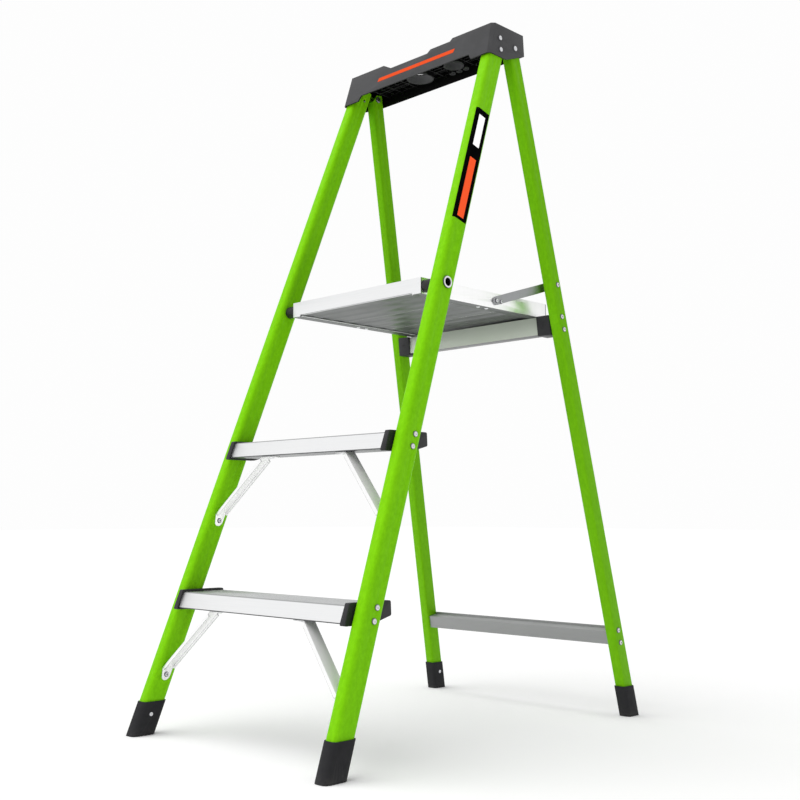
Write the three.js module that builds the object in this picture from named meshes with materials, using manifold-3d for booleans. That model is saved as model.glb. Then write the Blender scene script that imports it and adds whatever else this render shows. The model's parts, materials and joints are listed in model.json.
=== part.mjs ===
// Folding platform stepladder: splayed fibreglass box rails, two extruded steps, a fold-up
// platform held level by two side links, a moulded tool-tray top and rubber feet.
// Millimetres, +Z up. -Y is the climbing side, +X is the climber's right.
import * as THREE from 'three';
import { mergeVertices } from 'three/addons/utils/BufferGeometryUtils.js';
import Module from 'manifold-3d';

const wasm = await Module();
wasm.setup();

// ---------------------------------------------------------------- driving dimensions
const GAP = 0.3;                 // working gap between touching pieces
const SIDES = [['left', -1], ['right', 1]];
const CENTRE_Y = 454;            // shifts the floor contact outline to the middle of the frame

// A rail stands on a straight line: at height z its outer front edge is at
// x = side * (HALF_SPAN - SPLAY * z), y = toeY + lean * z.
const HALF_SPAN = 296;
const SPLAY = 0.0513;
const FRONT = { toeY: 0, lean: 0.3657, width: 28.8, depth: 44.4, corner: 8.4, wall: 3.4 };
const REAR = { toeY: 873, lean: -0.2048, width: 23.6, depth: 34.1, corner: 4.3, wall: 3 };
const FRONT_RAIL_ENDS = [27, 1550];
const REAR_RAIL_START = 11;
const REAR_RAIL_ABOVE_PIVOT = 12;
const REAR_RAIL_CORNER = { back: 15, down: 16 };  // trimmed off the top end's front corner

const BOOT = { height: 64, skin: 2.6, sole: 8, treads: 5, treadDepth: 1.4 };

const STEP_TOPS = [277, 582];    // tread heights, one rung pitch of 305 apart
const STEP = { nose: 9, height: 31.5, back: 86, backHeight: 19, chamferStart: 43, skin: 2.2 };
const TREAD_RIB = { count: 11, width: 2.6, height: 1.2 };
const STEP_END = 7.8;            // step end to the rail's inner face
const BRACKET = {
  width: 11, floor: 4.6, lipFront: 3, lipTop: 4, lipBottom: 3.2, lipBack: 3.7, corner: 3.6,
};
const STEP_RIVETS = { y: 26.5, drops: [3.9, 26.6] };

const KNEE = {
  front: 12.6, back: 37.4, metal: 2.2, bend: 112, tabEnd: 140,
  flange: 8, flangeStart: 7, flangeEnd: 3.5, lean: 0.228,
};
const KNEE_FOOT = { bend: 149, rivet: 162.4, tip: 163.8, tipRadius: 10 };  // drops from the tread

const PLATFORM = { front: 332, rear: 735, top: 895.6, bottom: 863, half: 193.7 };
const SIDE_PLATE = { metal: 2.5, flange: 27 };
const PLANK = { count: 3, half: 187, skin: 2, seam: 0.6 };
const DECK_RIB = { count: 9, height: 1.1 };     // on top of each plank
const DECK_GROOVE = { count: 3, depth: 0.6 };   // under each plank
const END_PLATE = { metal: 2.4, relief: 4, reliefHalf: 170 };

const PLATFORM_PIVOT = { y: 345, z: 878.7, bore: 7.4, tube: 8.7, spacer: 12.8 };
const PIVOT_LIP = { outer: 12.4, outerRise: 2.8, inner: 10.2, innerRise: 1.8 };
const LINK = { y: 560.5, z: 879.3, endY: 704.8, endZ: 927, width: 18, metal: 3 };
const LINK_X = { near: 194.2, far: 216.5, bendNear: 34, bendFar: 34 };
const LINK_PIN = { shank: 3, head: 5.4, rise: 2.4 };

const REAR_PIVOT = { y: 596.3, z: 1434, shank: 4, head: 6.5, rise: 2.6, tail: 7.6, tailRise: 2.6 };
const CAP_RIVETS = [[546.3, 1442.4], [546.6, 1416.5]];
const RIVET = { shank: 2.4, head: 6, rise: 2.5, tail: 2.9, tailRise: 1.2 };

const CROSSBAR = { front: 703.5, back: 733.5, bottom: 823, top: 862.3, wall: 2.5 };
const CROSSBAR_CAP = { width: 34, wall: 6, frontTop: 696.5, frontBottom: 703, skin: 3.2 };
const LOWER_BRACE = { z: 180.5, setBack: 5.9, height: 28.5, depth: 27, metal: 2.2, lip: 4.2 };

const CAP = { front: [507, 1400], nose: [527, 1473.5], apex: [564, 1399], rear: [628, 1425] };
const CAP_WALL = 3.1;
const CAP_END = { gap: 0.7, wall: 2.1 };  // the gap lets the rear rails swing without rubbing
const CAP_CHAMFER = 6.5;
const CAP_SKIRT = { half: 167, bottom: 1413, slant: 0.6 };
const CAP_RIBS = { half: 184, bottom: 1442, thickness: 2, pitch: 46, rows: [549, 586] };
const CAP_BOSS_BOTTOM = 1434;
const TRAY = { low: 1459, mid: 1467, left: [-108.7, -81.3], step: [33.5, 41.8], right: [100.2, 106.2] };
const TOOL_HOLES = [
  { x: -36.7, y: 575, bore: 29, wall: 2.6 },
  { x: 68, y: 574, bore: 20.5, wall: 2.6 },
  { x: 36, y: 606, bore: 4.6, wall: 2.6 },
  { x: 56.5, y: 606, bore: 4.6, wall: 2.6 },
  { x: 77, y: 606, bore: 4.6, wall: 2.6 },
];
const LEAD_IN = 5;                // depth and flare of the largest tool hole's mouth

// ---------------------------------------------------------------- materials
const MATERIALS = {
  fibreglass: { color: 0x6fb50c, roughness: 0.42, metalness: 0 },
  aluminium: { color: 0xc9cbcd, roughness: 0.34, metalness: 0.85 },
  moulding: { color: 0x4c4c4e, roughness: 0.6, metalness: 0 },
  black_plastic: { color: 0x232325, roughness: 0.55, metalness: 0 },
  rubber: { color: 0x1d1d1f, roughness: 0.85, metalness: 0 },
  zinc: { color: 0xb9bac0, roughness: 0.3, metalness: 0.9 },
};

function material(slot) {
  return new THREE.MeshStandardMaterial({ name: slot, ...MATERIALS[slot] });
}

// ---------------------------------------------------------------- geometry helpers
function toShape(points, holes = []) {
  const shape = new THREE.Shape(points.map(([u, v]) => new THREE.Vector2(u, v)));
  for (const hole of holes) {
    shape.holes.push(new THREE.Path(hole.map(([u, v]) => new THREE.Vector2(u, v))));
  }
  return shape;
}

function extrude(points, holes, depth) {
  return new THREE.ExtrudeGeometry(toShape(points, holes), { depth, bevelEnabled: false });
}

// Outline given as [y, z], swept from x0 to x1.
function prismX(points, x0, x1, holes = []) {
  const basis = new THREE.Matrix4().makeBasis(
    new THREE.Vector3(0, 1, 0), new THREE.Vector3(0, 0, 1), new THREE.Vector3(1, 0, 0));
  return extrude(points, holes, x1 - x0).applyMatrix4(basis).translate(x0, 0, 0);
}

// Outline given as [x, z], swept from y0 to y1.
function prismY(points, y0, y1, holes = []) {
  const basis = new THREE.Matrix4().makeBasis(
    new THREE.Vector3(1, 0, 0), new THREE.Vector3(0, 0, 1), new THREE.Vector3(0, -1, 0));
  return extrude(points, holes, y1 - y0).applyMatrix4(basis).translate(0, y1, 0);
}

// Outline given as [x, y], swept from z0 to z1.
function prismZ(points, z0, z1, holes = []) {
  return extrude(points, holes, z1 - z0).translate(0, 0, z0);
}

function box(x0, x1, y0, y1, z0, z1) {
  const geometry = new THREE.BoxGeometry(x1 - x0, y1 - y0, z1 - z0);
  return geometry.translate((x0 + x1) / 2, (y0 + y1) / 2, (z0 + z1) / 2);
}

// Cylinder whose axis runs along X through (y, z).
function rodX(radius, x0, x1, y, z, segments = 16) {
  const geometry = new THREE.CylinderGeometry(radius, radius, x1 - x0, segments);
  return geometry.rotateZ(-Math.PI / 2).translate((x0 + x1) / 2, y, z);
}

function rodZ(radius, z0, z1, x, y, segments = 28) {
  const geometry = new THREE.CylinderGeometry(radius, radius, z1 - z0, segments);
  return geometry.rotateX(Math.PI / 2).translate(x, y, (z0 + z1) / 2);
}

// A block filling the side of a plane that its normal points to.
function halfSpace(point, normal, size = 400) {
  const geometry = new THREE.BoxGeometry(size, size, size).translate(0, 0, size / 2);
  const turn = new THREE.Quaternion().setFromUnitVectors(
    new THREE.Vector3(0, 0, 1), normal.clone().normalize());
  return geometry.applyQuaternion(turn).translate(point.x, point.y, point.z);
}

function weld(geometry) {
  const bare = geometry.clone();
  bare.deleteAttribute('normal');
  bare.deleteAttribute('uv');
  const merged = mergeVertices(bare, 1e-4);
  const source = merged.index.array;
  const kept = [];
  for (let i = 0; i < source.length; i += 3) {
    const [a, b, c] = [source[i], source[i + 1], source[i + 2]];
    if (a !== b && b !== c && a !== c) {
      kept.push(a, b, c);
    }
  }
  merged.setIndex(kept);
  return merged;
}

function signedVolume(geometry) {
  const position = geometry.attributes.position;
  const index = geometry.index.array;
  const [a, b, c] = [new THREE.Vector3(), new THREE.Vector3(), new THREE.Vector3()];
  let total = 0;
  for (let i = 0; i < index.length; i += 3) {
    a.fromBufferAttribute(position, index[i]);
    b.fromBufferAttribute(position, index[i + 1]);
    c.fromBufferAttribute(position, index[i + 2]);
    total += a.dot(b.cross(c)) / 6;
  }
  return total;
}

// Welded copy with every face turned outward.
function closed(geometry) {
  const solid = weld(geometry);
  if (signedVolume(solid) < 0) {
    solid.setIndex(Array.from(solid.index.array).reverse());
  }
  return solid;
}

function toManifold(geometry) {
  const solid = closed(geometry);
  return new wasm.Manifold(new wasm.Mesh({
    numProp: 3,
    vertProperties: Float32Array.from(solid.attributes.position.array),
    triVerts: Uint32Array.from(solid.index.array),
  }));
}

function toGeometry(manifold) {
  const mesh = manifold.getMesh();
  const geometry = new THREE.BufferGeometry();
  geometry.setAttribute('position', new THREE.BufferAttribute(mesh.vertProperties, 3));
  geometry.setIndex(Array.from(mesh.triVerts));
  return geometry;
}

function combine(operation, first, rest) {
  let result = toManifold(first);
  for (const other of rest) {
    result = result[operation](toManifold(other));
  }
  return toGeometry(result);
}

const join = (first, ...rest) => combine('add', first, rest);
const cut = (first, ...rest) => combine('subtract', first, rest);
const overlap = (first, ...rest) => combine('intersect', first, rest);

// Builds happen on the right (+X); the left one is its mirror image.
function forSide(geometry, side) {
  return side > 0 ? closed(geometry) : closed(closed(geometry).scale(-1, 1, 1));
}

function roundedRect(x0, x1, y0, y1, radius, perCorner = 4) {
  const centres = [
    [x1 - radius, y1 - radius, 0], [x0 + radius, y1 - radius, 1],
    [x0 + radius, y0 + radius, 2], [x1 - radius, y0 + radius, 3],
  ];
  const points = [];
  for (const [cx, cy, quarter] of centres) {
    for (let i = 0; i <= perCorner; i += 1) {
      const angle = (quarter + i / perCorner) * Math.PI / 2;
      points.push([cx + radius * Math.cos(angle), cy + radius * Math.sin(angle)]);
    }
  }
  return points;
}

function addMesh(parent, name, slot, geometry, at = [0, 0, 0]) {
  const body = closed(geometry).translate(-at[0], -at[1], -at[2]);
  body.computeVertexNormals();
  const mesh = new THREE.Mesh(body, material(slot));
  mesh.name = name;
  mesh.position.set(...at);
  parent.add(mesh);
  return mesh;
}

// ---------------------------------------------------------------- rail frames
// Local axes of a rail: X runs across it, Y from its front face to its back, Z along it.
// The origin is the outer front edge at floor level.
function railMatrix(rail, side) {
  const along = new THREE.Vector3(-side * SPLAY, rail.lean, 1).normalize();
  const across = new THREE.Vector3(1, 0, side * SPLAY).normalize();
  const back = new THREE.Vector3().crossVectors(along, across);
  const matrix = new THREE.Matrix4().makeBasis(across, back, along);
  return matrix.setPosition(side * HALF_SPAN, rail.toeY, 0);
}

function railGroup(name, rail, side) {
  const group = new THREE.Group();
  group.name = name;
  railMatrix(rail, side).decompose(group.position, group.quaternion, group.scale);
  return group;
}

function outerX(z) {
  return HALF_SPAN - SPLAY * z;
}

function innerX(rail, z) {
  return outerX(z) - rail.width;
}

function frontY(rail, z) {
  return rail.toeY + rail.lean * z;
}

// Rail-local point of a world point on the right-hand side.
function toRail(rail, x, y, z) {
  return new THREE.Vector3(x, y, z).applyMatrix4(railMatrix(rail, 1).invert());
}

// The block outboard of a rail's inner face, plus the working gap (right-hand side).
function outboardOfInnerFace(rail) {
  const point = new THREE.Vector3(innerX(rail, 0) - GAP, 0, 0);
  return halfSpace(point, new THREE.Vector3(1, 0, SPLAY), 4000);
}

function railSection(rail, grow = 0) {
  return roundedRect(-rail.width - grow, grow, -grow, rail.depth + grow, rail.corner + grow);
}

function railTube(rail, start, end) {
  const inner = railSection(rail, -rail.wall).reverse();
  return prismZ(railSection(rail), start, end, [inner]);
}

// ---------------------------------------------------------------- rivets
// Closed outline of a domed rivet along +Y, dimpled where its mandrel broke off.
// Head underside at y = 0, shank toward -Y.
function rivetGeometry({ shank, head, rise, tail, tailRise }, grip, segments = 12) {
  const tailTop = -grip - GAP;
  const outline = [
    [0, tailTop - tailRise], [tail * 0.8, tailTop - tailRise], [tail, tailTop - tailRise * 0.4],
    [tail, tailTop], [shank, tailTop], [shank, GAP], [head, GAP], [head * 0.93, GAP + rise * 0.5],
    [head * 0.6, GAP + rise * 0.9], [head * 0.4, GAP + rise], [head * 0.12, GAP + rise * 0.5],
    [0, GAP + rise * 0.5],
  ];
  return new THREE.LatheGeometry(outline.map(([r, y]) => new THREE.Vector2(r, y)), segments);
}

// Head on the +X side, shank running inboard from the plane x = 0.
function rivetX(spec, grip, segments) {
  return rivetGeometry(spec, grip, segments).rotateZ(-Math.PI / 2);
}

// ---------------------------------------------------------------- front frame
function frontRail(side) {
  const holes = [];
  for (const top of STEP_TOPS) {
    for (const drop of STEP_RIVETS.drops) {
      const t = stepRivetStation(top, drop);
      holes.push(rodX(RIVET.shank + GAP, -60, 10, STEP_RIVETS.y, t, 12));
    }
  }
  const toLocal = railMatrix(FRONT, 1).invert();
  for (const [y, z] of CAP_RIVETS) {
    holes.push(rodX(RIVET.shank + GAP, 150, 260, y, z, 12).applyMatrix4(toLocal));
  }
  const { y, z, tube } = PLATFORM_PIVOT;
  holes.push(rodX(tube + GAP, 200, 280, y, z, 20).applyMatrix4(toLocal));
  return forSide(cut(railTube(FRONT, ...FRONT_RAIL_ENDS), ...holes), side);
}

// Station along the rail where the outer-face rivet sits at a drop below the tread.
function stepRivetStation(top, drop) {
  const matrix = railMatrix(FRONT, 1).elements;
  const backZ = matrix[6];
  const alongZ = matrix[10];
  return (top - drop - STEP_RIVETS.y * backZ) / alongZ;
}

function boot(rail, railStart) {
  const toWorld = railMatrix(rail, 1);
  const sleeve = prismZ(railSection(rail, BOOT.skin), -40, 120).applyMatrix4(toWorld);
  const socketStart = railStart - GAP;
  const socket = prismZ(railSection(rail, GAP), socketStart, 160).applyMatrix4(toWorld);
  const below = box(150, 400, -200, 1200, -200, 0);
  const above = box(150, 400, -200, 1200, BOOT.height, 400);
  const treads = [];
  const span = rail.depth + 2 * BOOT.skin;
  for (let i = 1; i <= BOOT.treads; i += 1) {
    const y = rail.toeY - BOOT.skin + span * i / (BOOT.treads + 1);
    treads.push(box(150, 400, y - 1.2, y + 1.2, -5, BOOT.treadDepth));
  }
  return cut(sleeve, socket, below, above, ...treads);
}

function stepOutline(lip) {
  const nose = -STEP.nose - lip.front;
  const foot = -STEP.height - lip.bottom;
  const rise = STEP.height + lip.bottom + lip.top;
  return [
    [nose + FRONT.lean * lip.top, lip.top],
    [nose + FRONT.lean * lip.top - FRONT.lean * rise, foot],
    [STEP.chamferStart, foot],
    [STEP.back + lip.back, -STEP.backHeight - lip.bottom],
    [STEP.back + lip.back, lip.top],
  ];
}

// Convex outline with each corner replaced by a short arc.
function roundCorners(points, radius, perCorner = 3) {
  const count = points.length;
  const rounded = [];
  points.forEach(([u, v], i) => {
    const before = points[(i + count - 1) % count];
    const after = points[(i + 1) % count];
    const corner = new THREE.Vector2(u, v);
    const toBefore = new THREE.Vector2(...before).sub(corner).normalize();
    const toAfter = new THREE.Vector2(...after).sub(corner).normalize();
    const setBack = radius / Math.tan(Math.acos(toBefore.dot(toAfter)) / 2);
    const start = toBefore.multiplyScalar(setBack).add(corner);
    const end = toAfter.multiplyScalar(setBack).add(corner);
    for (let k = 0; k <= perCorner; k += 1) {
      const t = k / perCorner;
      const bend = new THREE.QuadraticBezierCurve(start, corner, end).getPoint(t);
      rounded.push([bend.x, bend.y]);
    }
  });
  return rounded;
}

const NO_LIP = { front: 0, bottom: 0, top: 0, back: 0 };
const SLOT_LIP = { front: GAP, bottom: GAP, top: GAP, back: GAP };
const BRACKET_LIP = {
  front: BRACKET.lipFront, bottom: BRACKET.lipBottom, top: BRACKET.lipTop, back: BRACKET.lipBack,
};

// Hollow step extrusion with a ribbed tread; the rib crests are the tread height.
function stepSection() {
  const [noseTop, noseFoot, bottom, heel, heelTop] = stepOutline(NO_LIP);
  const floor = -TREAD_RIB.height;
  const run = heelTop[0] - noseTop[0];
  const points = [noseTop, noseFoot, bottom, heel, heelTop];
  for (let i = TREAD_RIB.count - 1; i >= 0; i -= 1) {
    const centre = noseTop[0] + run * (i + 0.5) / TREAD_RIB.count;
    const half = run / TREAD_RIB.count / 2 - TREAD_RIB.width / 2;
    points.push([centre + half, 0], [centre + half, floor], [centre - half, floor], [centre - half, 0]);
  }
  const skin = STEP.skin;
  const cavityTop = floor - skin;
  const cavityFoot = noseFoot[1] + skin;
  const hollow = [
    [noseTop[0] + FRONT.lean * cavityTop + skin * 1.1, cavityTop],
    [noseTop[0] + FRONT.lean * cavityFoot + skin * 1.1, cavityFoot],
    [bottom[0] - 0.5, cavityFoot],
    [heel[0] - skin, heel[1] + skin],
    [heelTop[0] - skin, cavityTop],
  ];
  return { points, hollow };
}

function step(top) {
  const { points, hollow } = stepSection();
  const half = innerX(FRONT, top) - STEP_END;
  return prismX(points, -half, half, [hollow.reverse()]);
}

// End bracket around the step's end, flat against the rail's inner face.
function stepBracket(top) {
  const originY = frontY(FRONT, top);
  const inner = innerX(FRONT, top);
  const outline = roundCorners(stepOutline(BRACKET_LIP), BRACKET.corner);
  const body = prismX(outline, inner - BRACKET.width, inner + 20).translate(0, originY, top);
  const slot = prismX(stepOutline(SLOT_LIP), 150, inner - BRACKET.floor);
  slot.translate(0, originY, top);
  const toWorld = railMatrix(FRONT, 1);
  const holes = STEP_RIVETS.drops.map((drop) => {
    const t = stepRivetStation(top, drop);
    return rodX(RIVET.shank + GAP, -60, 10, STEP_RIVETS.y, t, 12).applyMatrix4(toWorld);
  });
  return cut(body, slot, outboardOfInnerFace(FRONT), ...holes);
}

// Channel strut from under the step to the rail's inner face. It is drawn upright and then
// sheared back, which keeps its tabs flat on the step and on the rail. It leans less than the
// rail, so it meets the step further forward than it leaves the rail.
function kneeBrace(top) {
  const { front, back, metal, flange } = KNEE;
  const under = top - STEP.height - GAP;
  const footZ = top - KNEE_FOOT.bend;
  const rivetZ = top - KNEE_FOOT.rivet;
  const bendX = innerX(FRONT, top) - KNEE.bend;
  const tabEnd = innerX(FRONT, top) - KNEE.tabEnd;
  const railAt = (z) => innerX(FRONT, z) - GAP;
  const tipZ = top - KNEE_FOOT.tip;
  const low = tipZ - KNEE_FOOT.tipRadius;
  const strap = [
    [tabEnd, under], [bendX, under], [railAt(footZ), footZ], [railAt(low), low],
    [railAt(low) - metal, low], [railAt(footZ) - metal, footZ - metal * 0.4],
    [bendX - metal * 0.4, under - metal], [tabEnd, under - metal],
  ];
  const run = new THREE.Vector2(railAt(footZ) - bendX, footZ - under).normalize();
  const drop = [-flange * Math.abs(run.y), -flange * Math.abs(run.x)];
  const startX = bendX + run.x * KNEE.flangeStart;
  const startZ = under + run.y * KNEE.flangeStart;
  const endX = railAt(footZ) - run.x * KNEE.flangeEnd;
  const endZ = footZ - run.y * KNEE.flangeEnd;
  const web = [
    [startX, startZ - 0.5], [endX, endZ - 0.5],
    [endX + drop[0], endZ + drop[1]], [startX + drop[0], startZ + drop[1]],
  ];
  const middle = (front + back) / 2;
  const tongue = [[front, under + 5], [front, footZ]];
  for (let i = 0; i <= 8; i += 1) {
    const angle = Math.PI * (1 + i / 8);
    const along = KNEE_FOOT.tipRadius * Math.cos(angle);
    tongue.push([middle + along, tipZ + KNEE_FOOT.tipRadius * Math.sin(angle)]);
  }
  tongue.push([back, footZ], [back, under + 5]);
  const channel = join(
    prismY(strap, front, back),
    prismY(web, front, front + metal),
    prismY(web, back - metal, back),
  );
  const upright = overlap(channel, prismX(tongue, 50, 300));
  const footSetBack = (FRONT.lean - KNEE.lean) * rivetZ;
  const shear = new THREE.Matrix4().set(
    1, 0, 0, 0,
    0, 1, KNEE.lean, footSetBack,
    0, 0, 1, 0,
    0, 0, 0, 1,
  );
  return upright.applyMatrix4(shear);
}

function capFrontView(inset) {
  const top = CAP.nose[1] - inset;
  const endOffset = inset > 0 ? CAP_END.gap : CAP_END.gap + CAP_END.wall;
  const low = 1380;
  const [leftHigh, leftLow] = TRAY.left;
  return [
    [-outerX(low) - endOffset, low], [outerX(low) + endOffset, low],
    [outerX(top) + endOffset, top], [TRAY.right[1] + inset, top],
    [TRAY.right[0] + inset, TRAY.mid - inset], [TRAY.step[1] + inset, TRAY.mid - inset],
    [TRAY.step[0] + inset, TRAY.low - inset], [leftLow - inset, TRAY.low - inset],
    [leftHigh - inset, top], [-outerX(top) - endOffset, top],
  ];
}

function capSideOutline() {
  const crown = CAP.nose[1];
  return [CAP.front, CAP.apex, CAP.rear, [CAP.rear[0], crown], CAP.nose];
}

// Outer front face of the cap at height z.
function capFrontY(z) {
  const slope = (CAP.nose[0] - CAP.front[0]) / (CAP.nose[1] - CAP.front[1]);
  return CAP.front[0] + slope * (z - CAP.front[1]);
}

// Outer end face of the cap at height z (right-hand side).
function capEndX(z) {
  return outerX(z) + CAP_END.gap + CAP_END.wall;
}

// The block beyond each front corner's chamfer, set in from it by a depth.
function capCorners(inset) {
  const normal = new THREE.Vector3(1, -1, SPLAY + 0.28).normalize();
  const edge = new THREE.Vector3(capEndX(1440) - CAP_CHAMFER, capFrontY(1440), 1440);
  edge.addScaledVector(normal, -inset);
  const right = halfSpace(edge, normal);
  return [right, forSide(right, -1)];
}

function capCavityOutline() {
  const frontAt = (z) => capFrontY(z) + CAP_WALL;
  const crown = CAP.nose[1];
  const back = CAP.rear[0] - CAP_WALL;
  return [[frontAt(1370), 1370], [back, 1370], [back, crown], [frontAt(crown), crown]];
}

// Raised middle of the front skirt's lower edge, sloping down at both ends.
function capSkirtArch() {
  const { half, bottom, slant } = CAP_SKIRT;
  const low = 1380;
  const lowHalf = half + slant * (bottom - low);
  return prismY([[-lowHalf, low], [lowHalf, low], [half, bottom], [-half, bottom]], 480, 540);
}

// Cone for the flared mouth of a tool hole in the low part of the tray, run on past both ends.
function leadIn({ x, y, bore }) {
  const over = 4;
  const cone = new THREE.CylinderGeometry(bore + LEAD_IN + over, bore - over, LEAD_IN + 2 * over, 28);
  return cone.rotateX(Math.PI / 2).translate(x, y, TRAY.low - LEAD_IN / 2);
}

function topCap() {
  const outer = overlap(prismX(capSideOutline(), -250, 250), prismY(capFrontView(0), 480, 660));
  const cavity = overlap(
    prismX(capCavityOutline(), -250, 250), prismY(capFrontView(CAP_WALL), 480, 660));
  const shell = cut(outer, cut(cavity, ...capCorners(CAP_END.wall)));

  const { half, bottom, thickness, pitch, rows } = CAP_RIBS;
  const bars = rows.map((y) => box(-half, half, y, y + thickness, bottom, 1480));
  for (let x = -half; x <= half; x += pitch) {
    bars.push(box(x, x + thickness, 500, 640, bottom, 1480));
  }
  const bosses = TOOL_HOLES.map(({ x, y, bore, wall }) => (
    rodZ(bore + wall, CAP_BOSS_BOTTOM, 1480, x, y)));
  const inside = overlap(join(...bars, ...bosses), outer);

  const bores = TOOL_HOLES.map(({ x, y, bore }) => rodZ(bore, 1300, 1500, x, y));
  const drill = (radius, y, z, segments) => SIDES.map(([, side]) => (
    forSide(rodX(radius, 205, 260, y, z, segments), side)));
  const rivetHoles = CAP_RIVETS.flatMap(([y, z]) => drill(RIVET.shank + GAP, y, z, 12));
  const pivotHoles = drill(REAR_PIVOT.shank + GAP, REAR_PIVOT.y, REAR_PIVOT.z, 16);
  const openings = [...bores, leadIn(TOOL_HOLES[0]), capSkirtArch()];
  return cut(join(shell, inside), ...openings, ...rivetHoles, ...pivotHoles, ...capCorners(0));
}

function buildFrontFrame() {
  const frame = new THREE.Group();
  frame.name = 'front_frame';
  for (const [word, side] of SIDES) {
    const rail = railGroup(`front_rail_line_${word}`, FRONT, side);
    addMesh(rail, `front_rail_${word}`, 'fibreglass', frontRail(side));
    STEP_TOPS.forEach((top, i) => {
      STEP_RIVETS.drops.forEach((drop, j) => {
        const station = stepRivetStation(top, drop);
        const rivet = forSide(rivetX(RIVET, rivetGrip(top, drop)), side);
        const name = `step_${i + 1}_rivet_${word}_${j + 1}`;
        addMesh(rail, name, 'zinc', rivet).position.set(0, STEP_RIVETS.y, station);
      });
    });
    frame.add(rail);

    const foot = forSide(boot(FRONT, FRONT_RAIL_ENDS[0]), side);
    addMesh(frame, `front_boot_${word}`, 'rubber', foot, [side * HALF_SPAN, 0, 0]);

    STEP_TOPS.forEach((top, i) => {
      const at = [side * innerX(FRONT, top), frontY(FRONT, top), top];
      const bracket = forSide(stepBracket(top), side);
      addMesh(frame, `step_${i + 1}_bracket_${word}`, 'black_plastic', bracket, at);
      const brace = forSide(kneeBrace(top), side);
      addMesh(frame, `knee_brace_${i + 1}_${word}`, 'aluminium', brace, at);
    });

    CAP_RIVETS.forEach(([y, z], i) => {
      const outside = capEndX(z) + RIVET.head * SPLAY;
      const grip = outside - innerX(FRONT, z);
      const rivet = forSide(rivetX(RIVET, grip), side);
      addMesh(frame, `cap_rivet_${word}_${i + 1}`, 'zinc', rivet).position.set(side * outside, y, z);
    });
  }
  STEP_TOPS.forEach((top, i) => {
    const mesh = addMesh(frame, `step_${i + 1}`, 'aluminium', step(top));
    mesh.position.set(0, frontY(FRONT, top), top);
  });
  addMesh(frame, 'top_cap', 'moulding', topCap(), [0, CAP.nose[0], CAP.nose[1]]);
  return frame;
}

// Distance from the rail's outer face to the floor of the bracket's slot at a rivet.
function rivetGrip(top, drop) {
  return outerX(top - drop) - innerX(FRONT, top) + BRACKET.floor + 0.6;
}

// ---------------------------------------------------------------- rear frame
function rearPivotLocal() {
  return toRail(REAR, outerX(REAR_PIVOT.z), REAR_PIVOT.y, REAR_PIVOT.z);
}

function rearRail(side) {
  const end = rearPivotLocal().z + REAR_RAIL_ABOVE_PIVOT;
  const hole = rodX(REAR_PIVOT.shank + GAP, 150, 260, REAR_PIVOT.y, REAR_PIVOT.z);
  const toLocal = railMatrix(REAR, 1).invert();
  const { back, down } = REAR_RAIL_CORNER;
  const corner = prismX([[-back, end - 2 * down], [back, end], [-back, end + down]], -60, 20);
  const rail = railTube(REAR, REAR_RAIL_START, end);
  return forSide(cut(rail, hole.applyMatrix4(toLocal), corner), side);
}

function crossbar() {
  const { front, back, bottom, top, wall } = CROSSBAR;
  const half = innerX(REAR, (bottom + top) / 2) - CROSSBAR_CAP.wall - 1.5;
  const outline = [[front, bottom], [back, bottom], [back, top], [front, top]];
  const hollow = [
    [front + wall, bottom + wall], [front + wall, top - wall],
    [back - wall, top - wall], [back - wall, bottom + wall],
  ];
  return prismX(outline, -half, half, [hollow]);
}

function crossbarCap() {
  const { front, back, bottom, top } = CROSSBAR;
  const { width, wall, frontTop, frontBottom, skin } = CROSSBAR_CAP;
  const inner = innerX(REAR, (bottom + top) / 2);
  const outline = [
    [frontBottom - 0.8, bottom - skin], [back + skin, bottom - skin], [back + skin, top + 0.3],
    [frontTop, top + 0.3],
  ];
  const slot = [
    [front - GAP, bottom - GAP], [back + GAP, bottom - GAP], [back + GAP, top + 10],
    [front - GAP, top + 10],
  ];
  const body = prismX(outline, inner - width, inner + 20);
  const socket = prismX(slot, inner - width - 10, inner - wall - 1);
  return cut(body, socket, outboardOfInnerFace(REAR));
}

// Angle-section brace with an upturned rear lip and end tabs flat on the rails.
function lowerBrace() {
  const { z, setBack, height, depth, metal, lip } = LOWER_BRACE;
  const tilt = Math.atan(-REAR.lean);
  const section = [
    [0, 0], [0, -height], [depth, -height], [depth, -height + metal], [metal, -height + metal],
    [metal, -metal], [depth, -metal], [depth, lip], [depth - metal, lip], [depth - metal, 0],
  ];
  const bar = prismX(section, -300, 300);
  const tab = prismX([[0, -height], [depth, -height], [depth, 0], [0, 0]], 240, 300);
  const frame = (geometry) => geometry
    .rotateX(tilt)
    .translate(0, frontY(REAR, z) + setBack, z);
  const inboard = halfSpace(
    new THREE.Vector3(innerX(REAR, 0) - GAP - metal, 0, 0), new THREE.Vector3(-1, 0, -SPLAY), 4000);
  const rightTab = cut(frame(tab), inboard);
  const leftTab = forSide(rightTab, -1);
  const whole = join(frame(bar), rightTab, leftTab);
  return cut(whole, outboardOfInnerFace(REAR), forSide(outboardOfInnerFace(REAR), -1));
}

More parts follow.
